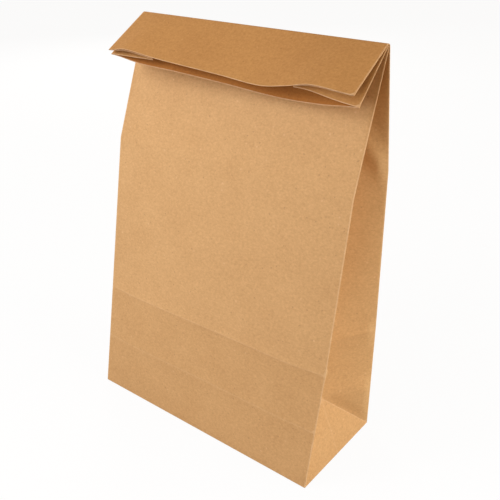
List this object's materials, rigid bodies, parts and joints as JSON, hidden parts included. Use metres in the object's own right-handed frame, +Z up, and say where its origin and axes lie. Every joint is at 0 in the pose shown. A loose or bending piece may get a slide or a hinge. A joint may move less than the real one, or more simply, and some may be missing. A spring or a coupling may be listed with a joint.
{
  "type": "paper bag",
  "caption": "Plain brown kraft paper grocery bag with a block bottom and side gussets, standing closed with its mouth folded over once towards the front.",
  "frame": {"origin": "middle of the base, on the outer face of the glued bottom flap that the bag stands on", "axes": "+Z up, +X along the bag's width, +Y from the front panel, which the folded mouth overhangs, to the back panel"},
  "size_m": [0.2602, 0.1135, 0.3732],
  "materials": {
    "kraft_paper": "plain unbleached kraft paper, matt, with fine fibre and faint mottling"
  },
  "bodies": {
    "root": {"paper_bag": "kraft_paper"}
  },
  "joints": []
}
